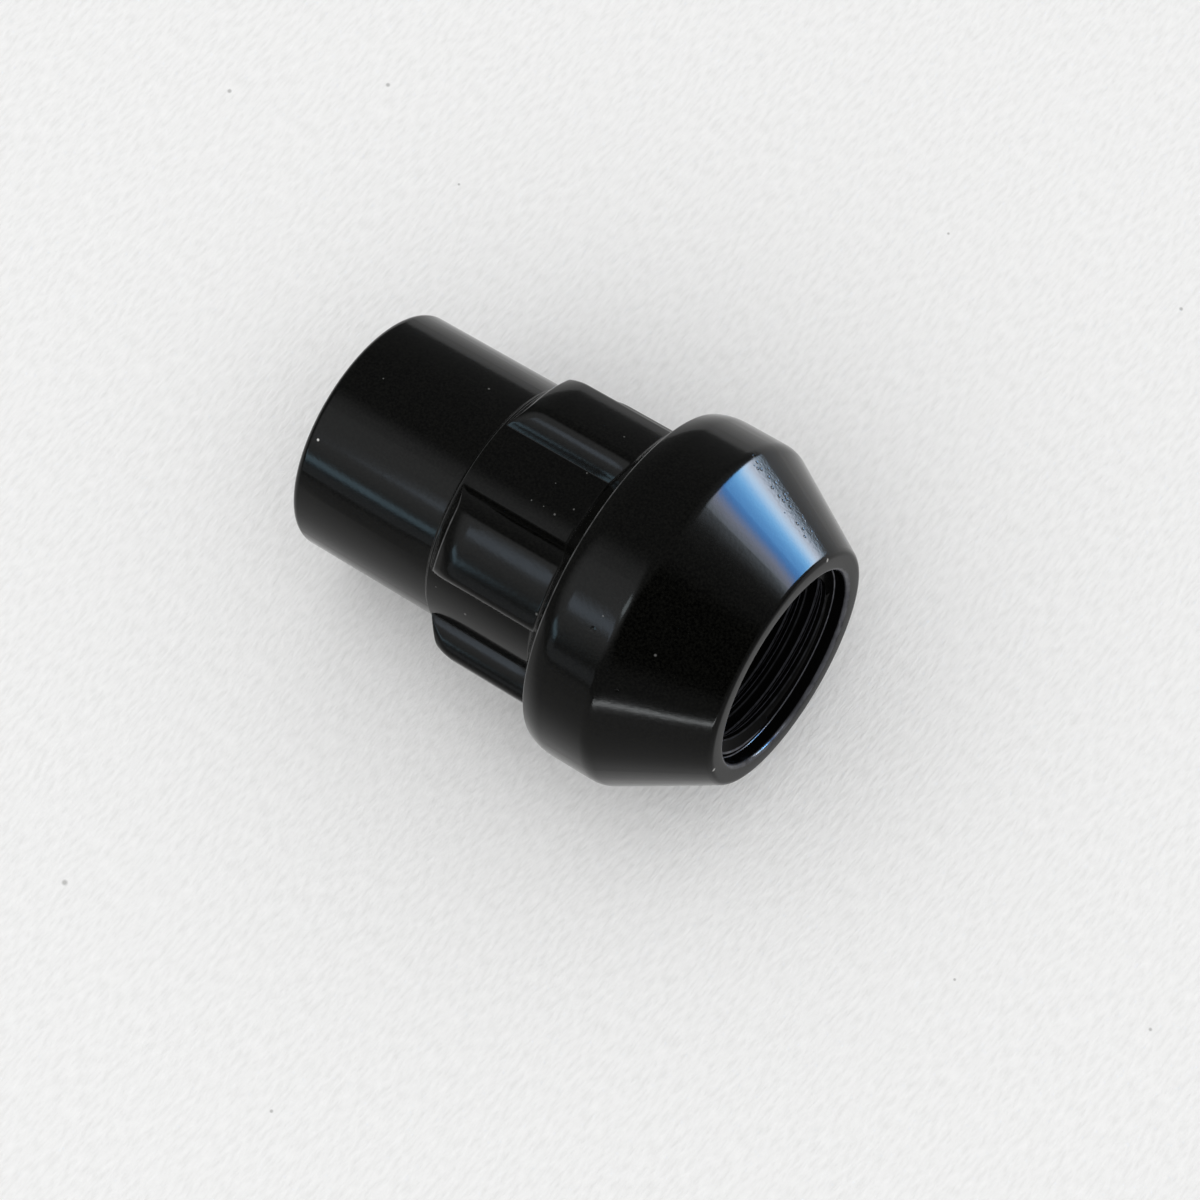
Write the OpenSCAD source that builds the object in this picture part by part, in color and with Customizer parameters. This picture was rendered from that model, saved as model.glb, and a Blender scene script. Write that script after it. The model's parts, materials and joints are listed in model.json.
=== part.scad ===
// Closed-end lug nut with a round cap, a lobed key drive, a flange and a conical seat.
// The nut stands on its cap end, with its axis on Z and the mouth of the bore on top.

/* [Overall] */
// Length from the cap end to the mouth
overall_l = 34.2; // [33:0.1:38]

/* [Cap] */
// Diameter of the plain round cap
cap_d = 17.6; // [17.2:0.1:17.8]
// Length of the cap, up to the drive
cap_l = 11.6; // [9:0.1:12.5]
// Rounding of the cap's end edge
cap_edge_r = 0.6; // [0.3:0.1:1.5]

/* [Key drive] */
// Number of lands that the key turns
land_count = 5; // [4:1:6]
// Diameter over the lands
land_d = 21.5; // [20.8:0.1:22.6]
// Diameter of the core between the lands
core_d = 18.0; // [17.9:0.1:18.6]
// Width of a land at its foot
land_foot_w = 6.2; // [5.6:0.1:6.8]
// Radius of a land's bulging flanks
flank_r = 4.2; // [3.8:0.1:5.4]
// Lean of the flanks at their foot from the land's middle plane, in degrees
flank_angle = 4; // [2:1:10]
// Rounding along a land's top edges
land_edge_r = 0.85; // [0.3:0.05:1.1]
// Slope of the lands' lead-in ends, in degrees from square
lead_in_angle = 35; // [25:1:45]
// Taper of a land's top beside the lead-in, in degrees
land_taper = 21; // [15:1:25]
// Drop of a land's top over that taper
land_drop = 0.3; // [0.2:0.05:0.4]
// Rounding of the edge between the lead-in and the taper
lead_in_edge_r = 0.5; // [0.2:0.1:0.6]
// Bare core between the cap and the lands' lead-in
bare_core_l = 0.15; // [0.1:0.05:0.6]

/* [Flange and seat] */
// Diameter of the flange
flange_d = 25.4; // [24:0.1:27]
// Height of the flange's straight band
flange_l = 5.0; // [3.5:0.1:5.6]
// Slope of the flange's back, in degrees from square
back_angle = 30; // [15:1:35]
// Included angle of the conical seat, in degrees
seat_angle = 60; // [55:1:70]
// Diameter of the small end of the seat
face_d = 17.3; // [16.8:0.1:18]
// Taper of the flange's band beside its back, in degrees
back_taper = 21; // [15:1:25]
// Drop of the band over that taper
back_drop = 0.35; // [0.2:0.05:0.5]
// Rounding of the flange's back edge
back_edge_r = 0.3; // [0.1:0.05:0.4]
// Rounding between the flange and the seat
seat_edge_r = 1.8; // [0.5:0.1:2.5]
// Rounding of the seat's small end
face_edge_r = 0.6; // [0.2:0.1:0.7]

/* [Stud hole] */
// Nominal diameter of the stud thread
thread_d = 14; // [12:0.5:14]
// Pitch of the stud thread
thread_pitch = 1.5; // [1:0.25:2]
// Length of the tapped wall
thread_l = 25; // [18:0.5:25]
// Diameter of the plain recess at the mouth
mouth_d = 14.4; // [14.2:0.1:15]
// Depth of the plain recess
mouth_l = 1.1; // [0.6:0.1:1.6]
// Included angle of the drilled end, in degrees
drill_angle = 118; // [110:1:140]

/* [Hidden] */
$fn = 96;
// Overlap that takes a cutting or joining shape well past the faces that it meets
past = 0.5;
// Extra radius that makes a rounding cross its two faces instead of grazing them
graze = 0.0005;

cap_r = cap_d / 2;
core_r = core_d / 2;
land_r = land_d / 2;
flange_r = flange_d / 2;
face_r = face_d / 2;
// Ridges of a 60 degree thread stand this high, so the tapped wall is drawn through their crests
ridge_h = 5 / 8 * sqrt(3) / 2 * thread_pitch;
crest_r = thread_d / 2 - ridge_h;
mouth_r = mouth_d / 2;

// Heights from the cap end, worked down from the mouth
seat_z = overall_l - (flange_r - face_r) / tan(seat_angle / 2);
back_z = seat_z - flange_l;
core_top_z = back_z - (flange_r - core_r) * tan(back_angle);
step_h = core_r - cap_r;
thread_z = overall_l - mouth_l - thread_l;
drill_tip_z = thread_z - crest_r / tan(drill_angle / 2);

// Flank of a land: an arc about flank_centre that meets the core at land_foot
land_foot = [land_foot_w / 2, sqrt(core_r ^ 2 - (land_foot_w / 2) ^ 2)];
flank_centre = land_foot - flank_r * [cos(flank_angle), sin(flank_angle)];

// Turned end of the lands: the lead-in's slope, then the taper up to a land's top
lead_in_start = [core_r, cap_l + bare_core_l];
lead_in_edge = lead_in_start + (land_r - land_drop - core_r) * [1, tan(lead_in_angle)];
land_top = lead_in_edge + land_drop * [1, 1 / tan(land_taper)];

// Back edge of the flange, and the end of the taper on its band
back_edge = [flange_r, back_z] - back_drop * [1, tan(back_angle)];
band_start = back_edge + back_drop * [1, 1 / tan(back_taper)];

// Radius that blends a taper into the straight face after it, over a share of the taper's length
function blend_r(taper, drop, share) = share * drop / sin(taper) / tan(taper / 2);

function unit(v) = v / norm(v);

// Point at a distance of a from the axis and of b from flank_centre, on the flank's side
function beside_flank(a, b) =
    let (span = norm(flank_centre))
    let (along = (a ^ 2 - b ^ 2 + span ^ 2) / (2 * span))
    let (outward = flank_centre / span)
    outward * along + [outward[1], -outward[0]] * sqrt(a ^ 2 - along ^ 2);

// Piece between a corner b and the circle of radius r that rounds it, where b lies between a and c
module corner_piece(a, b, c, r) {
    to_a = unit(a - b);
    to_c = unit(c - b);
    half = acos(to_a * to_c) / 2;
    centre = b + unit(to_a + to_c) * r / sin(half);
    run = r / tan(half);
    reach = 1 + past / norm(b - centre);
    difference() {
        polygon([
            centre,
            centre + (b + to_a * run - centre) * reach,
            centre + (b - centre) * reach,
            centre + (b + to_c * run - centre) * reach,
        ]);
        translate(centre) circle(r + graze);
    }
}

// Outline through points, with the corners that have a radius above 0 rounded
module rounded_outline(points, radii) {
    last = len(points) - 1;
    difference() {
        polygon(points);
        for (i = [1 : last - 1])
            if (radii[i] > 0)
                corner_piece(points[i - 1], points[i], points[i + 1], radii[i]);
    }
}

// Turned body without the lands, from the cap end up to the mouth
module turned_body() {
    rotate_extrude()
        rounded_outline(
            [
                [0, 0],
                [cap_r, 0],
                [cap_r, cap_l - step_h],
                [core_r, cap_l],
                [core_r, core_top_z],
                back_edge,
                band_start,
                [flange_r, seat_z],
                [face_r, overall_l],
                [0, overall_l],
            ],
            [
                0,
                cap_edge_r,
                0,
                0,
                0,
                back_edge_r,
                blend_r(back_taper, back_drop, 0.7),
                seat_edge_r,
                face_edge_r,
                0,
            ]
        );
}

// Rounding on one top edge of a land
module land_edge_cut() {
    corner = beside_flank(land_r, flank_r);
    centre = beside_flank(land_r - land_edge_r, flank_r - land_edge_r);
    on_flank = centre + unit(centre - flank_centre) * (land_edge_r + past);
    on_top = centre + unit(centre) * (land_edge_r + past);
    difference() {
        polygon([centre, on_flank, corner + unit(corner - centre) * past, on_top]);
        translate(centre) circle(land_edge_r + graze);
    }
}

// Cross-section of one land, with its middle on Y
module land_section() {
    difference() {
        intersection() {
            circle(land_r);
            translate(flank_centre) circle(flank_r);
            mirror([1, 0]) translate(flank_centre) circle(flank_r);
        }
        land_edge_cut();
        mirror([1, 0]) land_edge_cut();
    }
}

// Turned shape that slopes and tapers the lands' ends beside the cap
module lead_in_limit() {
    inner = lead_in_start - past * [1, tan(lead_in_angle)];
    outer = land_top + past * [1, 1 / tan(land_taper)];
    rotate_extrude()
        polygon([[0, inner[1]], inner, lead_in_edge, outer, [outer[0], back_z], [0, back_z]]);
}

// Rings that are cut away to round the lead-in's edge and to blend the taper into the lands' tops
module lead_in_rounding() {
    rotate_extrude() {
        corner_piece(lead_in_start, lead_in_edge, land_top, lead_in_edge_r);
        corner_piece(lead_in_edge, land_top, [land_r, back_z], blend_r(land_taper, land_drop, 0.8));
    }
}

// Lands of the key drive, which run into the flange's back. The first has its middle on +X
module lands() {
    difference() {
        intersection() {
            for (i = [0 : land_count - 1])
                rotate(i * 360 / land_count - 90)
                    translate([0, 0, cap_l - past])
                        linear_extrude(back_z - cap_l + 2 * past) land_section();
            lead_in_limit();
        }
        lead_in_rounding();
    }
}

// Blind stud hole: a plain recess, the tapped wall and a drilled end
module stud_hole() {
    rotate_extrude()
        polygon([
            [0, drill_tip_z],
            [crest_r, thread_z],
            [crest_r, overall_l - mouth_l],
            [mouth_r, overall_l - mouth_l],
            [mouth_r, overall_l + past],
            [0, overall_l + past],
        ]);
}

module lug_nut() {
    color([0.05, 0.05, 0.055])
        difference() {
            union() {
                turned_body();
                lands();
            }
            stud_hole();
        }
}

lug_nut();
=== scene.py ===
"""Lug nut in a black coating: one detailed mesh, with a real thread, stands for the CAD solid.

The frame is the CAD's: Z runs from the cap end to the mouth, and +X through the middle of a land.
In the photograph the nut lies on a pale table, so the table, the lamps and the camera are set out
round it.
"""
import json
import math

import bmesh
import bpy
from mathutils import Matrix, Vector


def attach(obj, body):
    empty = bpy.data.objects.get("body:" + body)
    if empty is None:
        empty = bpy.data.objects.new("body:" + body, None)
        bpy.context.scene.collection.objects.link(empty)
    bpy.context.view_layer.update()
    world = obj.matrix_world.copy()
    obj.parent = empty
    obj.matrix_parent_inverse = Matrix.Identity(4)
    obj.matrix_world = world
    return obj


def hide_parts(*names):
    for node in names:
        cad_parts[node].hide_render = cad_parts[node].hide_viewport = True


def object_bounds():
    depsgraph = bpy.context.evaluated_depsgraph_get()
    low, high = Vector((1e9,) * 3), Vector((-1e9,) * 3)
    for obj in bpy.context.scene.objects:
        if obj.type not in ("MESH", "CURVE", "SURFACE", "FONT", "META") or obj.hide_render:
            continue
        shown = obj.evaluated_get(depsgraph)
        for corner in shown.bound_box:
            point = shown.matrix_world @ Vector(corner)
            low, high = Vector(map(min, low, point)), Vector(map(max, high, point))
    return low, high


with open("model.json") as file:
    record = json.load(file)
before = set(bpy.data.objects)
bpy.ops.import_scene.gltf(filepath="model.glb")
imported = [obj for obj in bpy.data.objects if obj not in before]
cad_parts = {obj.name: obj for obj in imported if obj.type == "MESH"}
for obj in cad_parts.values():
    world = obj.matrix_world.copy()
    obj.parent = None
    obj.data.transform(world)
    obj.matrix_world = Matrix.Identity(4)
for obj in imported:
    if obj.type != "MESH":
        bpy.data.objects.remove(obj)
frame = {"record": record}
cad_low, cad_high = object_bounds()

MM = 0.001
NODE = "lug_nut"

# The stud hole's sizes come from the record's mount, the outer sizes from the CAD box
stud = next(m for m in frame["record"]["mounts"] if m["name"] == "stud_thread")

# Sizes in millimetres
overall_l = cad_high.z / MM
flange_r = cad_high.x / MM
cap_r = 8.8
cap_l = 11.6
cap_edge_r = 0.6
core_r = 9.0
step_edge_r = 0.1

# Key drive. A land's top is an arc about the axis, its edges are rounded and its flanks bulge
land_count = 5
land_r = 10.75
land_top_half = math.radians(10.9)
land_edge_r = 0.87
flank_start = math.radians(61.75)
flank_r = 4.2
land_foot_r = 0.1
lead_in_angle = math.radians(35)
lead_in_z = cap_l + 0.15
lead_in_edge_r = 0.5
lead_foot_run = 0.06
land_taper = math.radians(21)
land_drop = 0.31
# Share of the taper that blends into a land's top, and the most of a slope that its rounding takes up
land_blend = 0.85
most_of_lead_in = 0.45
most_of_taper = 0.14
# On the core the lead-in and the taper keep these lengths, so that each column has the same rows
least_lead_in = 0.05
least_taper = 0.1

# Flange and seat
flange_l = 5.0
back_angle = math.radians(30)
seat_angle = math.radians(60)
face_r = 8.65
back_edge_r = 0.3
back_taper = math.radians(21)
back_drop = 0.34
back_blend = 0.7
back_foot_run = 0.2
seat_edge_r = 1.8
face_edge_r = 0.6

# Stud hole
crest_r = stud["dims"]["r_mm"]
thread_l = stud["dims"]["length_mm"]
recess_z = stud["pos_m"][2] / MM
thread_pitch = 1.5
ridge_h = 5 / 8 * math.sqrt(3) / 2 * thread_pitch
mouth_r = 7.2
mouth_edge_r = 0.3
recess_foot_r = 0.08
drill_angle = math.radians(118)
# A crest passes this angle about the axis at this depth under the mouth
crest_seen_angle = math.radians(134)
crest_seen_depth = 1.66
# Thread along one pitch: the crest starts at 0, and then come its end and the root's start and end
crest_end = 1 / 4
root_start = 9 / 16
root_end = 11 / 16
thread_edges = [0, crest_end, root_start, root_end]
# Each edge's share of rubbing and painted glint, in the turns next to the mouth. The last turns of the
# thread run out
rubbed_and_glint_shares = [0.1, 1, 0.5, 1]
rubbed_and_glint_turns = 4
run_out_turns = 2
# Bevels at those edges: places beside an edge, in pitches, and their wear with its painted glint
plain_bevel = [(-0.028, 0), (0.028, 0)]
rubbed_and_glint_bevel = [(-0.045, 0), (-0.02, 1), (0.02, 1), (0.045, 0)]

# Heights worked out from them
seat_z = overall_l - (flange_r - face_r) / math.tan(seat_angle / 2)
back_z = seat_z - flange_l
core_top_z = back_z - (flange_r - core_r) * math.tan(back_angle)
thread_z = recess_z - thread_l
drill_tip_z = thread_z - crest_r / math.tan(drill_angle / 2)


def polar(radius, angle):
    """Point of the cross-section of the key drive, at an angle from the middle of a land on Y."""
    return Vector((math.sin(angle), math.cos(angle))) * radius


def angle_of(point):
    """Angle of a point of that cross-section."""
    return math.atan2(point.x, point.y)


# Arcs down one side of a land: its rounded edge, its flank, and the fillet at its foot
edge_centre = polar(land_r - land_edge_r, land_top_half)
edge_stop = edge_centre + polar(land_edge_r, flank_start)
flank_centre = edge_stop - polar(flank_r, flank_start)


def fillet_centre():
    """Centre of the fillet that touches both the flank and the core."""
    from_axis, from_flank = core_r + land_foot_r, flank_r + land_foot_r
    span = flank_centre.length
    along = (from_axis ** 2 - from_flank ** 2 + span ** 2) / (2 * span)
    aside = math.sqrt(from_axis ** 2 - along ** 2)
    outward = flank_centre / span
    return outward * along + Vector((outward.y, -outward.x)) * aside


foot_centre = fillet_centre()
flank_stop = flank_centre + (foot_centre - flank_centre).normalized() * flank_r
top_end = land_top_half
edge_end = angle_of(edge_stop)
flank_end = angle_of(flank_stop)
foot_end = angle_of(foot_centre)
core_end = math.pi / land_count


def on_circle(centre, radius, angle, side):
    """Radius at which a ray from the axis leaves (side 1) or meets (side -1) a circle."""
    along = centre.dot(polar(1, angle))
    return along + side * math.sqrt(max(0, radius ** 2 - centre.length_squared + along ** 2))


def section_radius(angle):
    """Radius of the key drive's outline at an angle from a land's middle."""
    angle = abs(angle)
    if angle <= top_end:
        return land_r
    if angle <= edge_end:
        return on_circle(edge_centre, land_edge_r, angle, 1)
    if angle <= flank_end:
        return on_circle(flank_centre, flank_r, angle, 1)
    if angle <= foot_end:
        return on_circle(foot_centre, land_foot_r, angle, -1)
    return core_r


def drive_angles():
    """Angles about the axis with the drive's radius at each, packed where a land's edges and feet turn."""
    stops = [0, top_end, edge_end, flank_end, foot_end, core_end]
    steps = [4, 9, 6, 4, 5]
    half = [0]
    for start, stop, count in zip(stops, stops[1:], steps):
        half += [start + (stop - start) * (i + 1) / count for i in range(count)]
    sector = [-a for a in reversed(half[1:-1])] + half
    angles = [(-core_end, core_r)]
    for land in range(land_count):
        middle = 2 * core_end * land
        angles += [(middle + a, section_radius(a)) for a in sector]
    return angles


def arc(a, b, c, run, steps):
    """Points of the arc that rounds the corner b between a and c, from run before b to run after it."""
    to_a = (a - b).normalized()
    to_c = (c - b).normalized()
    weight = math.sin(to_a.angle(to_c) / 2)
    start, end = b + to_a * run, b + to_c * run
    points = []
    for i in range(steps + 1):
        t = i / steps
        w0, w1, w2 = (1 - t) ** 2, 2 * t * (1 - t) * weight, t ** 2
        points.append((start * w0 + b * w1 + end * w2) / (w0 + w1 + w2))
    return points


def arc_run(radius, turn):
    """Distance from a corner to the ends of the arc that rounds it."""
    return radius * math.tan(turn / 2)


def outer_rows(drive_r):
    """Rows from the cap's middle to the foot of the recess at one angle: radius and height, and wear with
    its painted highlight.
    """
    right_angle = math.pi / 2
    step_run = arc_run(step_edge_r, right_angle / 2)
    lead_r = drive_r - land_drop * (drive_r - core_r) / (land_r - core_r)
    lead_z = lead_in_z + max((lead_r - core_r) * math.tan(lead_in_angle), least_lead_in)
    lead_reach = most_of_lead_in * Vector((lead_r - core_r, lead_z - lead_in_z)).length
    taper_z = lead_z + max((drive_r - lead_r) / math.tan(land_taper), least_taper)
    taper_l = Vector((drive_r - lead_r, taper_z - lead_z)).length
    lead_run = arc_run(lead_in_edge_r, right_angle - lead_in_angle)
    lead_run = min(lead_run, lead_reach, most_of_taper * taper_l)
    back_foot_z = core_top_z + (drive_r - core_r) * math.tan(back_angle)
    back_edge_z = back_z - back_drop * math.tan(back_angle)
    back_taper_l = back_drop / math.sin(back_taper)
    back_run = arc_run(back_edge_r, right_angle - back_angle - back_taper)
    land_share = (drive_r - core_r) / (land_r - core_r)
    # Each corner: its radius and height, the run and the steps of its rounding, the rows up to the next
    # corner, and its wear, which also paints a highlight along the edge
    corners = [
        (cap_r, 0, arc_run(cap_edge_r, right_angle), 9, 3, 0),
        (cap_r, cap_l - (core_r - cap_r), step_run, 3, 0, 0),
        (core_r, cap_l, step_run, 4, 0, 0.5),
        (core_r, lead_in_z, min(lead_foot_run, lead_reach), 3, 2, 0),
        (lead_r, lead_z, lead_run, 4, 0, land_share),
        (drive_r, taper_z, land_blend * taper_l, 8, 6, 0),
        (drive_r, back_foot_z, back_foot_run, 4, 2, 0),
        (flange_r - back_drop, back_edge_z, back_run, 6, 0, 1),
        (flange_r, back_edge_z + back_taper_l * math.cos(back_taper), back_blend * back_taper_l, 6, 3, 0),
        (flange_r, seat_z, arc_run(seat_edge_r, seat_angle / 2), 8, 3, 0),
        (face_r, overall_l, arc_run(face_edge_r, right_angle - seat_angle / 2), 8, 0, 0),
        (mouth_r, overall_l, arc_run(mouth_edge_r, right_angle), 6, 0, 0.9),
        (mouth_r, recess_z, arc_run(recess_foot_r, right_angle), 4, 0, 1),
    ]
    points = [Vector((0, 0))] + [Vector(c[:2]) for c in corners] + [Vector((crest_r, recess_z))]
    rows = [(points[0], 0)]
    between = 0
    for i, (_, _, run, steps, rows_after, wear_and_highlight) in enumerate(corners):
        rounding = arc(points[i], points[i + 1], points[i + 2], run, steps)
        last = rows[-1][0]
        rows += [(last.lerp(rounding[0], (k + 1) / (between + 1)), 0) for k in range(between)]
        rows += [(point, wear_and_highlight * math.sin(math.pi * k / steps)) for k, point in enumerate(rounding)]
        between = rows_after
    return rows


def thread_depth(phase):
    """Depth of the thread's groove, from 0 on a crest to 1 in a root, along one pitch."""
    phase %= 1
    if phase < crest_end:
        return 0
    if phase < root_start:
        return (phase - crest_end) / (root_start - crest_end)
    if phase < root_end:
        return 1
    return (1 - phase) / (1 - root_end)


def thread_rows(angle, first_angle):
    """Rows down the tapped wall at one angle: radius and height, and wear with painted glints. They climb
    with the thread.
    """
    plain_knots = [(edge + aside, wear_and_highlight) for edge in thread_edges for aside, wear_and_highlight in plain_bevel]
    rubbed_and_glint_knots = [
        (edge + aside, wear_and_highlight * share)
        for edge, share in zip(thread_edges, rubbed_and_glint_shares)
        for aside, wear_and_highlight in rubbed_and_glint_bevel
    ]
    turn = (angle - first_angle) / (2 * math.pi)
    pitches = thread_l / thread_pitch
    seen = (crest_seen_depth - (overall_l - recess_z)) / thread_pitch
    phase = 1 / 8 - seen - (crest_seen_angle - first_angle) / (2 * math.pi)
    phase -= math.floor(phase)
    rows = []
    for pitch in range(-1, math.ceil(pitches) + 3):
        knots = rubbed_and_glint_knots if pitch < rubbed_and_glint_turns else plain_knots
        for knot, wear_and_highlight in knots:
            t = min(max(pitch + knot - phase, turn), turn + pitches)
            z = recess_z - thread_pitch * (t - turn)
            run_out = min(1, (z - thread_z) / (run_out_turns * thread_pitch))
            radius = crest_r + ridge_h * run_out * thread_depth(t + phase)
            rows.append((Vector((radius, z)), wear_and_highlight if t > turn else 0))
    return rows


def nut_mesh():
    """One closed mesh: the outside, the recess, the thread and the drilled end."""
    columns = drive_angles()
    first_angle = columns[0][0]
    bm = bmesh.new()
    # Per vertex: wear at the edges, which also paints a highlight line along them
    worn_and_highlit = bm.verts.layers.float.new("worn_and_highlit")
    grid = []
    for angle, drive_r in columns:
        rows = outer_rows(drive_r) + thread_rows(angle, first_angle) + [(Vector((0, drill_tip_z)), 0)]
        outward = Vector((math.cos(angle), math.sin(angle), 0))
        column = []
        for point, wear_and_highlight in rows:
            vertex = bm.verts.new((outward * point.x + Vector((0, 0, point.y))) * MM)
            vertex[worn_and_highlit] = wear_and_highlight
            column.append(vertex)
        grid.append(column)
    for left, right in zip(grid, grid[1:]):
        for i in range(len(left) - 1):
            bm.faces.new((left[i], right[i], right[i + 1], left[i + 1]))
    # The ends on the axis, the seam and the rows that the recess cuts off meet here
    bmesh.ops.remove_doubles(bm, verts=bm.verts, dist=0.0001 * MM)
    bmesh.ops.recalc_face_normals(bm, faces=bm.faces)
    mesh = bpy.data.meshes.new("lug_nut_coated")
    bm.to_mesh(mesh)
    bm.free()
    mesh.shade_smooth()
    mesh.set_sharp_from_angle(angle=math.radians(40))
    return mesh


def add_nut():
    """The nut as one piece on the root body, in place of the CAD node."""
    nut = bpy.data.objects.new("lug_nut_coated", nut_mesh())
    bpy.context.scene.collection.objects.link(nut)
    normals = nut.modifiers.new("even_normals", "WEIGHTED_NORMAL")
    normals.keep_sharp = True
    nut.data.materials.append(black_coating())
    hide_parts(NODE)
    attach(nut, "root")
    return nut


class Nodes:
    """Short ways to add and link the nodes of one material or world."""

    def __init__(self, owner):
        owner.use_nodes = True
        self.tree = owner.node_tree
        self.tree.nodes.clear()

    def add(self, kind, settings=None, **inputs):
        """A new node. An underscore in the name of an input stands for a space."""
        node = self.tree.nodes.new(kind)
        for name, value in (settings or {}).items():
            setattr(node, name, value)
        for name, value in inputs.items():
            self.feed(node.inputs[name.replace("_", " ")], value)
        return node

    def feed(self, socket, value):
        """Links an input to an output, or sets it to a plain value."""
        if isinstance(value, bpy.types.NodeSocket):
            self.tree.links.new(value, socket)
        else:
            socket.default_value = value

    def feed_first(self, node, *values):
        """Feeds a node's first inputs in turn."""
        for socket, value in zip(node.inputs, values):
            self.feed(socket, value)

    def maths(self, operation, *values):
        node = self.add("ShaderNodeMath", {"operation": operation})
        self.feed_first(node, *values)
        return node.outputs[0]

    def dot(self, vector, other):
        node = self.add("ShaderNodeVectorMath", {"operation": "DOT_PRODUCT"})
        self.feed_first(node, vector, other)
        return node.outputs["Value"]

    def distance(self, vector, other):
        node = self.add("ShaderNodeVectorMath", {"operation": "DISTANCE"})
        self.feed_first(node, vector, other)
        return node.outputs["Value"]

    def part(self, vector, axis):
        """One of a vector's X, Y and Z."""
        return self.add("ShaderNodeSeparateXYZ", Vector=vector).outputs[axis]

    def mapped(self, value, start, stop, low=0.0, high=1.0, blend="LINEAR"):
        """From low at start to high at stop, and level beyond them."""
        node = self.add("ShaderNodeMapRange", {"interpolation_type": blend}, Value=value)
        for name, bound in (("From Min", start), ("From Max", stop), ("To Min", low), ("To Max", high)):
            self.feed(node.inputs[name], bound)
        return node.outputs["Result"]

    def smooth(self, value, start, stop, low=0.0, high=1.0):
        """As mapped, but easing in and out."""
        return self.mapped(value, start, stop, low, high, "SMOOTHSTEP")

    def mixed(self, factor, a, b):
        """Colour a where the factor is 0, and b where it is 1."""
        node = self.add("ShaderNodeMix", {"data_type": "RGBA"}, Factor=factor)
        self.feed(node.inputs[6], a)
        self.feed(node.inputs[7], b)
        return node.outputs[2]

    def mixed_shader(self, factor, a, b):
        """Shader a where the factor is 0, and b where it is 1."""
        node = self.add("ShaderNodeMixShader")
        self.feed_first(node, factor, a, b)
        return node.outputs["Shader"]

    def ramp(self, factor, stops):
        """Colour ramp through stops, each a position and a colour."""
        node = self.add("ShaderNodeValToRGB", Fac=factor)
        marks = node.color_ramp.elements
        while len(marks) < len(stops):
            marks.new(0.5)
        for mark, (position, colour) in zip(marks, stops):
            mark.position = position
            mark.color = (*colour, 1)
        return node.outputs["Color"]

    def noise(self, vector, size, detail):
        """Noise with features about that many millimetres across."""
        node = self.add("ShaderNodeTexNoise", Vector=vector, Scale=1 / (size * MM), Detail=detail)
        return node.outputs["Fac"]

    def bump(self, height, distance, strength, normal=None):
        """Normal over a height that stands for that many millimetres."""
        node = self.add("ShaderNodeBump", Height=height, Distance=distance * MM, Strength=strength)
        if normal:
            self.feed(node.inputs["Normal"], normal)
        return node.outputs["Normal"]


# Coating: its tones, the sizes of its patterns in millimetres, and its gloss
mottle_tones = [(0.35, (0.0002, 0.0002, 0.0001)), (0.68, (0.0036, 0.0036, 0.003))]
mottle_size = 0.16
# Paler tone on worn edges: it paints a highlight line along each edge
worn_edge_painted_highlight_tone = (0.075, 0.076, 0.077, 1)
worn_highlight_patch_size = 0.8
bare_steel_tone = (0.1, 0.101, 0.105, 1)
dust_tone = (0.1, 0.1, 0.097, 1)
bright_dust_tone = (0.6, 0.6, 0.58, 1)
roughness_low = 0.1
roughness_high = 0.16
roughness_patch_size = 1.2

# Bore and face ring: how dull they are, and how much of that rubbing takes away
dull_tone = (0.002, 0.002, 0.002, 1)
# Painted glints: pale tone on the thread's rubbed edges
thread_edge_painted_glint_tone = (0.2, 0.205, 0.24, 1)
bore_dullness = 0.8
rubbed_and_highlit_gloss = 0.6
ring_dullness = 0.35

# Relief of the coating in millimetres. The peel is coarser on the pitted strip of the seat
peel_size = 0.26
peel_depth = 0.008
plain_peel = 0.4
strip_peel = 2.0
pit_cell = 0.45
pit_scatter = 0.8
pit_reach = 0.35
hollow_depth = 0.022
strip_angle = math.radians(-79)
strip_z = 30.3
strip_half_width = 0.75
strip_half_length = 3.2

# Nicks and dust on the coating: for each its radius, its angle in degrees, its height, and its size
nicks = [
    (12.7, -3.2, 25.58, 0.17),
    (12.04, 11.5, 28.33, 0.1),
]
bright_specks = [
    (8.8, -5.1, 0.98, 0.09),
    (8.45, -80.9, 34.15, 0.13),
    (8.4, 49.6, 34.15, 0.13),
]
specks = [
    (8.8, -42.6, 2.72, 0.05),
    (8.8, -65.1, 8.82, 0.08),
    (9.0, -28.6, 16.4, 0.05),
    (9.0, -28.9, 17.33, 0.04),
    (9.0, -39.9, 17.09, 0.04),
    (9.0, -28.3, 18.27, 0.075),
    (9.0, -34.1, 19.17, 0.06),
    (9.0, -50.9, 18.33, 0.06),
    (9.0, 28.7, 12.39, 0.05),
    (9.0, 34.8, 14.83, 0.09),
    (10.75, 6.3, 20.85, 0.09),
    (10.75, -66.8, 19.19, 0.06),
    (12.7, -8.1, 25.83, 0.06),
    (11.32, -3.9, 29.58, 0.085),
]


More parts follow.
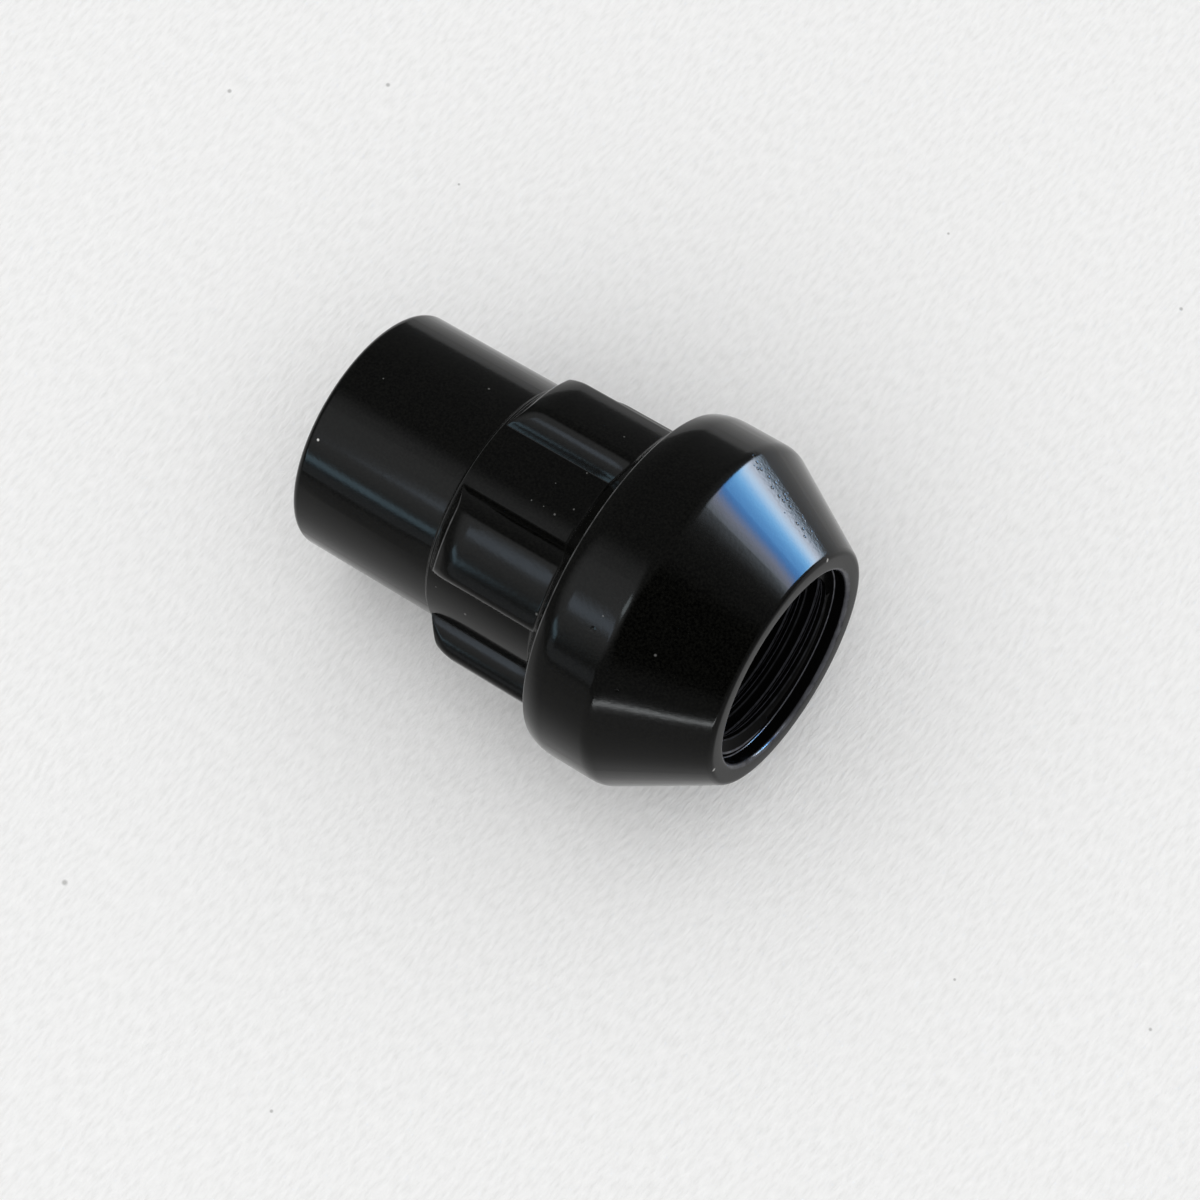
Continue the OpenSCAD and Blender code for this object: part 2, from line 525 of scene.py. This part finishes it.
def black_coating():
    """Glossy black coating, duller in the bore and on the face ring, bare on the thread's rubbed edges.
    Worn edges carry a painted highlight, and the thread's rubbed edges painted glints.
    """
    material = bpy.data.materials.new("black_coating")
    n = Nodes(material)
    place = n.add("ShaderNodeTexCoord").outputs["Object"]
    rubbed_and_highlit = rubbed_and_highlit_edges(n, place)
    inside = bore(n, place)
    bare = n.maths("MULTIPLY", inside, rubbed_and_highlit)
    roughness_patches = n.noise(place, roughness_patch_size, 3)
    glossy = n.add(
        "ShaderNodeBsdfPrincipled",
        Base_Color=coating_tone(n, place, rubbed_and_highlit, bare),
        Metallic=bare,
        Roughness=n.mapped(roughness_patches, 0, 1, roughness_low, roughness_high),
        Specular_IOR_Level=0.17,
        Normal=coating_relief(n, place),
    )
    # Painted glints: the thread's rubbed edges take a pale diffuse tone
    dull = n.add("ShaderNodeBsdfDiffuse", Color=n.mixed(rubbed_and_highlit, dull_tone, thread_edge_painted_glint_tone))
    bore_share = n.maths("MULTIPLY", inside, n.maths("MULTIPLY_ADD", rubbed_and_highlit, -rubbed_and_highlit_gloss, bore_dullness))
    ring_share = n.maths("MULTIPLY", face_ring(n, place), ring_dullness)
    dulled = n.maths("MAXIMUM", bore_share, ring_share)
    coat = n.mixed_shader(dulled, glossy.outputs["BSDF"], dull.outputs["BSDF"])
    n.add("ShaderNodeOutputMaterial", Surface=coat)
    return material


def rubbed_and_highlit_edges(n, place):
    """1 where an edge has lost most of its coating and carries a painted highlight, in patches, and 0 off
    the edges.
    """
    worn_and_highlit = n.add("ShaderNodeAttribute", {"attribute_name": "worn_and_highlit"}).outputs["Fac"]
    patches = n.mapped(n.noise(place, worn_highlight_patch_size, 3), 0.35, 0.65, 0.4, 1.0)
    return n.maths("MULTIPLY", worn_and_highlit, patches)


def coating_tone(n, place, rubbed_and_highlit, bare):
    """Colour of the coating, with a painted highlight on its worn edges, and the dust on it."""
    tone = n.ramp(n.noise(place, mottle_size, 3), mottle_tones)
    # Painted highlight: worn edges take the paler tone
    tone = n.mixed(rubbed_and_highlit, tone, worn_edge_painted_highlight_tone)
    tone = n.mixed(bare, tone, bare_steel_tone)
    tone = n.mixed(around(n, place, specks), tone, dust_tone)
    return n.mixed(around(n, place, bright_specks), tone, bright_dust_tone)


def coating_relief(n, place):
    """Normal of the coating, with its orange peel, pits and nicks."""
    strip = pitted_strip(n, place)
    ripple = n.maths("SUBTRACT", n.noise(place, peel_size, 2), 0.5)
    peel_height = n.maths("MULTIPLY", ripple, n.maths("MULTIPLY_ADD", strip, strip_peel, plain_peel))
    peel = n.bump(peel_height, peel_depth, 0.7)
    hollows = n.maths("ADD", pits(n, place, strip), around(n, place, nicks))
    return n.bump(n.maths("SUBTRACT", 1, hollows), hollow_depth, 1.0, peel)


def bore(n, place):
    """1 inside the stud hole and on the inner part of its rounded edge, 0 outside."""
    reach = mouth_r + 0.4 * mouth_edge_r
    x, y, z = n.add("ShaderNodeSeparateXYZ", Vector=place).outputs
    radius = n.maths("SQRT", n.maths("ADD", n.maths("MULTIPLY", x, x), n.maths("MULTIPLY", y, y)))
    narrow = n.maths("LESS_THAN", radius, reach * MM)
    above_cap_end = n.maths("GREATER_THAN", z, 1 * MM)
    return n.maths("MULTIPLY", narrow, above_cap_end)


def face_ring(n, place):
    """1 on the flat ring round the mouth, falling to 0 down its rounded edge."""
    return n.smooth(n.part(place, "Z"), (overall_l - 0.15) * MM, (overall_l - 0.02) * MM)


def pits(n, place, strip):
    """1 in the small round pits, 0 between them and away from their strip."""
    cells = n.add("ShaderNodeTexVoronoi", Vector=place, Scale=1 / (pit_cell * MM), Randomness=pit_scatter)
    reach = n.maths("MULTIPLY_ADD", strip, pit_reach, 0.001)
    return n.smooth(cells.outputs["Distance"], n.maths("MULTIPLY", reach, 0.4), reach, 1.0, 0.0)


def pitted_strip(n, place):
    """1 along the strip of the seat where the pits are, 0 away from it."""
    across = Vector((-math.sin(strip_angle), math.cos(strip_angle), 0))
    outward = Vector((math.cos(strip_angle), math.sin(strip_angle), 0))
    aside = n.maths("DIVIDE", n.dot(place, across), strip_half_width * MM)
    height = n.maths("SUBTRACT", n.part(place, "Z"), strip_z * MM)
    along = n.maths("DIVIDE", height, strip_half_length * MM)
    away = n.maths("ADD", n.maths("POWER", aside, 2.0), n.maths("POWER", along, 4.0))
    near = n.smooth(away, 0.3, 2.0, 1.0, 0.0)
    this_side = n.maths("GREATER_THAN", n.dot(place, outward), 0.0)
    return n.maths("MULTIPLY", near, this_side)


def around(n, place, marks):
    """1 on the marks, which lie at angles about the nut's axis, and 0 elsewhere."""
    centres = []
    for radius, angle, z, size in marks:
        a = math.radians(angle)
        centres.append((Vector((radius * math.cos(a), radius * math.sin(a), z)) * MM, size))
    return spots(n, place, centres)


def spots(n, place, centres):
    """1 near any of the centres, falling to 0 a little outside the size in millimetres given with each."""
    cover = 0.0
    for centre, size in centres:
        near = n.mapped(n.distance(place, centre), 0.5 * size * MM, 1.3 * size * MM, 1.0, 0.0)
        cover = n.maths("MAXIMUM", near, cover)
    return cover


# The photograph's camera, in the nut's frame
camera_place = Vector((203.168, -78.99, 99.573)) * MM
camera_target = Vector((0.646, 2.168, 20.572)) * MM
camera_roll = math.radians(120.352)
camera_lens = 105
camera_sensor = 36


def camera_axes():
    """The camera's right, up and back directions."""
    back = (camera_place - camera_target).normalized()
    level = Vector((0, 0, 1)).cross(back).normalized()
    rise = back.cross(level)
    right = level * math.cos(camera_roll) + rise * math.sin(camera_roll)
    up = rise * math.cos(camera_roll) - level * math.sin(camera_roll)
    return right, up, back


def placed(axes, place):
    """World matrix of an object with those X, Y and Z axes at that place."""
    turn = Matrix(axes).transposed()
    return Matrix.Translation(place) @ turn.to_4x4()


def add_camera():
    """The camera at the photograph's viewing angle."""
    data = bpy.data.cameras.new("camera")
    data.lens = camera_lens
    data.sensor_width = camera_sensor
    data.clip_start = 0.01
    data.clip_end = 20
    camera = bpy.data.objects.new("camera", data)
    bpy.context.scene.collection.objects.link(camera)
    camera.matrix_world = placed(camera_axes(), camera_place)
    bpy.context.scene.camera = camera


# The table that the nut lies on. Its own axes: right as the camera sees it, away from the viewer, and up
table_up = Vector((0.7773, -0.6049, 0.1731)).normalized()
table_right = camera_axes()[0]
table_right = (table_right - table_up * table_right.dot(table_up)).normalized()
table_away = table_up.cross(table_right)
nut_middle = Vector((0, 0, overall_l / 2)) * MM

# The table's top in metres: where the camera starts and stops losing it, and where it ends behind the nut
table_radius = 0.4
table_fade_start = 0.0675
table_fade_stop = 0.09
table_far_edge = 0.1
table_sides = 96

# The table's grain, in millimetres, runs at an angle to the table's right
grain_size = 0.32
grain_stretch = 3.4
grain_turn = math.radians(52)
grain_depth = 0.12
grain_tones = [
    (0.3, (0.815, 0.815, 0.81)),
    (0.5, (0.868, 0.868, 0.865)),
    (0.7, (0.905, 0.905, 0.902)),
]

# The coating mirrors a dimmer table towards the viewer, a painted shade seen only in its gloss: where that
# starts and stops growing in front of the nut, in millimetres, and its share
dim_start = 12
dim_stop = 34
dim_share = 0.45

# Crumbs on the table: millimetres to the right of the nut's foot and beyond it, and size
crumb_tone = (0.15, 0.15, 0.14, 1)
crumb_cover = 0.5
table_crumbs = [
    (-25.4, 39.3, 0.16),
    (-13.8, 39.8, 0.16),
    (-34.6, -20.2, 0.2),
    (43.4, 22.0, 0.14),
    (26.9, 27.9, 0.1),
    (25.6, -26.9, 0.1),
    (-20.1, -35.8, 0.12),
    (38.6, -30.3, 0.12),
    (-8.5, 31.8, 0.1),
]


def direction(azimuth, elevation):
    """Direction over the table: azimuth 0 is right, 90 is away from the viewer, in degrees."""
    a, e = math.radians(azimuth), math.radians(elevation)
    level = table_right * math.cos(a) + table_away * math.sin(a)
    return level * math.cos(e) + table_up * math.sin(e)


def crumbs(n, place, foot):
    """1 on a crumb, 0 elsewhere."""
    return spots(n, place, [(foot + Vector((x, y, 0)) * MM, size) for x, y, size in table_crumbs])


def table_material(foot):
    """Pale table. The camera doesn't see it from below or far out, where the white world shows instead."""
    material = bpy.data.materials.new("pale_table")
    n = Nodes(material)
    place = n.add("ShaderNodeTexCoord").outputs["Object"]
    path = n.add("ShaderNodeLightPath")
    along = n.add(
        "ShaderNodeMapping",
        {"vector_type": "TEXTURE"},
        Vector=place,
        Rotation=(0, 0, grain_turn),
        Scale=(grain_stretch, 1, 1),
    )
    grain = n.noise(along.outputs["Vector"], grain_size, 4)
    # Painted shade: the table turns darker in the coating's reflections in front of the nut
    forward = n.maths("SUBTRACT", foot.y, n.part(place, "Y"))
    dim = n.smooth(forward, dim_start * MM, dim_stop * MM, 0.0, dim_share)
    dim = n.maths("MULTIPLY", dim, path.outputs["Is Glossy Ray"])
    shade = n.mixed(dim, n.ramp(grain, grain_tones), (0, 0, 0, 1))
    shade = n.mixed(n.maths("MULTIPLY", crumbs(n, place, foot), crumb_cover), shade, crumb_tone)
    pale = n.add(
        "ShaderNodeBsdfPrincipled",
        Base_Color=shade,
        Roughness=0.6,
        Specular_IOR_Level=0.02,
        Normal=n.bump(grain, grain_depth, 0.9),
    )
    clear = n.add("ShaderNodeBsdfTransparent")
    far_out = n.smooth(n.distance(place, foot), table_fade_start, table_fade_stop)
    behind = n.add("ShaderNodeNewGeometry").outputs["Backfacing"]
    hidden = n.maths("MULTIPLY", n.maths("MAXIMUM", behind, far_out), path.outputs["Is Camera Ray"])
    shown = n.mixed_shader(hidden, pale.outputs["BSDF"], clear.outputs["BSDF"])
    n.add("ShaderNodeOutputMaterial", Surface=shown)
    return material


def add_table(nut):
    """Round table top that just touches the nut's lowest points and ends a little way behind it."""
    bm = bmesh.new()
    bmesh.ops.create_circle(bm, cap_ends=True, segments=table_sides, radius=table_radius)
    mesh = bpy.data.meshes.new("table")
    bm.to_mesh(mesh)
    bm.free()
    table = bpy.data.objects.new("table", mesh)
    bpy.context.scene.collection.objects.link(table)
    height = min(table_up.dot(v.co) for v in nut.data.vertices)
    foot = nut_middle + table_up * (height - table_up.dot(nut_middle))
    beyond_middle = table_radius - table_far_edge
    middle = foot - table_away * beyond_middle
    table.matrix_world = placed((table_right, table_away, table_up), middle)
    table.data.materials.append(table_material(Vector((0, beyond_middle, 0))))


def add_panel(name, azimuth, elevation, width, height, radiance, distance=0.5, mirrored=True):
    """Panel at a direction over the table, facing the nut, with its width and height in degrees from there.

    A mirrored panel shows only in the coating's gloss; any other one only lights the scene."""
    data = bpy.data.lights.new(name, "AREA")
    data.shape = "RECTANGLE"
    data.size = 2 * distance * math.tan(math.radians(width / 2))
    data.size_y = 2 * distance * math.tan(math.radians(height / 2))
    peak = max(radiance)
    data.energy = peak * math.pi * data.size * data.size_y
    data.color = [c / peak for c in radiance]
    lamp = bpy.data.objects.new(name, data)
    bpy.context.scene.collection.objects.link(lamp)
    back = direction(azimuth, elevation)
    side = table_up.cross(back).normalized()
    lamp.matrix_world = placed((side, back.cross(side), back), nut_middle + back * distance)
    lamp.visible_camera = False
    lamp.visible_glossy = mirrored
    lamp.visible_diffuse = not mirrored


def add_lamps():
    """A big soft lamp overhead, and small bright things at the left and in front, seen in the coating."""
    add_panel("overhead", -130, 66, 80, 80, (0.55, 0.55, 0.55), distance=0.9, mirrored=False)
    add_panel("left_window_high", -154, 36, 15, 7, (1.9, 2.4, 3.0))
    add_panel("left_window_top", -148, 55, 12, 12, (4.6, 5.3, 5.5))
    add_panel("left_window_low", -158, 14.5, 14, 5, (2.2, 3.5, 4.3))
    add_panel("left_sill", -148, 6, 20, 8, (0.55, 0.6, 0.65))
    add_panel("front_gap", -95, 0.4, 40, 2, (13, 13.6, 13.8), distance=0.15)


# The right window, from its sill up to the top of its curtain: elevation in degrees and radiance
window_levels = [
    (-6, (4, 5.2, 6.5)),
    (-2, (11, 12.5, 15)),
    (1, (16.5, 18, 21)),
    (6.5, (19, 26, 34)),
    (13, (7.2, 19.5, 35)),
    (20, (4.2, 13.5, 29)),
    (27, (2.2, 8.4, 22)),
    (33, (10, 10.5, 13.4)),
    (39, (5.5, 6.4, 7.2)),
    (43, (1, 1.1, 1.2)),
    (48, (0, 0, 0)),
]
window_peak = 38
window_azimuth = 37.5
window_half_width = 10
window_edge = 15
window_lean = 0.2
window_curve = 0.005

# Levels of the light on the table, of what the camera sees beyond it, and of the room's walls
even_level = 0.8
white_level = 0.87
wall_level = 0.25
left_glow_level = 1.15
window_glow_level = 0.35
front_shade = 0.93
wall_tone = (0.97, 0.99, 1, 1)


def spot(n, ray, azimuth, elevation, inner, outer):
    """1 within the inner angle of a direction over the table, falling to 0 at the outer angle."""
    towards = n.dot(ray, direction(azimuth, elevation))
    return n.smooth(towards, math.cos(math.radians(outer)), math.cos(math.radians(inner)))


def right_window(n, ray):
    """The bright window at the right. It leans: its middle lies further right higher up."""
    elevation = n.maths("MULTIPLY", n.maths("ARCSINE", n.dot(ray, table_up)), 180 / math.pi)
    heading = n.maths("ARCTAN2", n.dot(ray, table_away), n.dot(ray, table_right))
    azimuth = n.maths("MULTIPLY", heading, 180 / math.pi)
    low, high = window_levels[0][0], window_levels[-1][0]
    stops = [((e - low) / (high - low), [c / window_peak for c in colour]) for e, colour in window_levels]
    lean = n.maths("MULTIPLY", elevation, n.maths("MULTIPLY_ADD", elevation, window_curve, window_lean))
    aside = n.maths("ABSOLUTE", n.maths("SUBTRACT", n.maths("ADD", azimuth, lean), window_azimuth))
    inside = n.maths("SUBTRACT", 1, n.smooth(aside, window_half_width, window_edge))
    window = n.add(
        "ShaderNodeBackground",
        Color=n.ramp(n.mapped(elevation, low, high), stops),
        Strength=n.maths("MULTIPLY", inside, window_peak),
    )
    return window.outputs["Background"]


def room_walls(n, ray):
    """The dim room: paler at the left and round the right window, and dark in front above the table."""
    left_glow = n.maths("MULTIPLY", spot(n, ray, -166, 42, 4, 36), left_glow_level)
    window_glow = n.maths("MULTIPLY", spot(n, ray, 28, 26, 10, 42), window_glow_level)
    level = n.maths("ADD", n.maths("ADD", left_glow, window_glow), wall_level)
    shaded = n.maths("MULTIPLY", spot(n, ray, -72, 45, 20, 36), front_shade)
    unshaded = n.maths("SUBTRACT", 1, shaded)
    walls = n.add("ShaderNodeBackground", Color=wall_tone, Strength=n.maths("MULTIPLY", level, unshaded))
    return walls.outputs["Background"]


def add_world():
    """Even light on the table, and a dim room with a window, seen in the coating. The camera sees white."""
    world = bpy.data.worlds.new("room")
    bpy.context.scene.world = world
    n = Nodes(world)
    ray = n.add("ShaderNodeTexCoord").outputs["Generated"]
    path = n.add("ShaderNodeLightPath")
    room = n.add("ShaderNodeAddShader")
    n.feed_first(room, room_walls(n, ray), right_window(n, ray))
    even = n.add("ShaderNodeBackground", Color=(1, 1, 1, 1), Strength=even_level)
    white = n.add("ShaderNodeBackground", Color=(white_level, white_level, white_level, 1), Strength=1.0)
    lit = n.mixed_shader(path.outputs["Is Glossy Ray"], even.outputs["Background"], room.outputs["Shader"])
    seen = n.mixed_shader(path.outputs["Is Camera Ray"], lit, white.outputs["Background"])
    n.add("ShaderNodeOutputWorld", Surface=seen)


bpy.context.scene.view_settings.view_transform = "Standard"
nut = add_nut()
add_camera()
add_table(nut)
add_lamps()
add_world()

bpy.context.view_layer.update()
